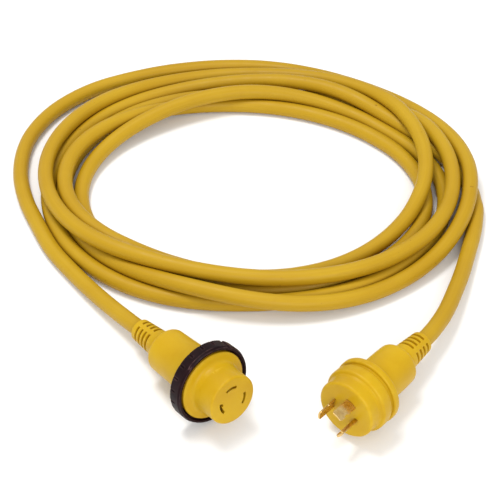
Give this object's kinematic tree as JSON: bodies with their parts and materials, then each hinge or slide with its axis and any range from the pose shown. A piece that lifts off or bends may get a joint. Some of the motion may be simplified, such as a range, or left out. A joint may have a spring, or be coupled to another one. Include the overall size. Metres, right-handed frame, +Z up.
{
  "type": "shore power cord",
  "caption": "Coiled heavy yellow shore power cord with a locking-ring connector on one end and a curved-blade locking plug on the other.",
  "frame": {"origin": "on the floor, midway between the connector and the plug that lie side by side in front of the coil", "axes": "+X from the connector towards the plug, +Y away from the viewer towards the coil, +Z up from the floor"},
  "size_m": [0.4932, 0.5649, 0.0774],
  "materials": {
    "yellow_moulding": "satin moulded vinyl",
    "cable_jacket": "satin extruded jacket",
    "black_moulding": "satin moulded nylon",
    "insulating_block": "moulded thermoset",
    "brass": "stamped",
    "steel": "crimped",
    "black_insulation": "extruded",
    "white_insulation": "extruded",
    "green_insulation": "extruded"
  },
  "bodies": {
    "cord": {"connector_strain_relief": "yellow_moulding", "connector_housing": "yellow_moulding", "connector_contact_block": "insulating_block", "connector_line_contact": "brass", "connector_neutral_contact": "brass", "connector_ground_contact": "brass", "connector_line_wire": "black_insulation", "connector_neutral_wire": "white_insulation", "connector_ground_wire": "green_insulation", "connector_cable_clamp": "steel", "connector_cable_end": "cable_jacket", "plug_strain_relief": "yellow_moulding", "plug_housing": "yellow_moulding", "plug_blade_block": "insulating_block", "plug_line_blade": "brass", "plug_neutral_blade": "brass", "plug_ground_blade": "brass", "plug_line_wire": "black_insulation", "plug_neutral_wire": "white_insulation", "plug_ground_wire": "green_insulation", "plug_cable_clamp": "steel", "plug_cable_end": "cable_jacket", "cord_lead_connector": "cable_jacket", "cord_coil": "cable_jacket", "cord_lead_plug": "cable_jacket"},
    "ring": {"locking_ring": "black_moulding"}
  },
  "joints": [
    {"name": "ring_spin", "type": "hinge", "parent": "cord", "child": "ring", "pos_m": [-0.06394, -0.01521, 0.03875], "axis": [0.6313, -0.7577, 0.165], "continuous": true}
  ]
}
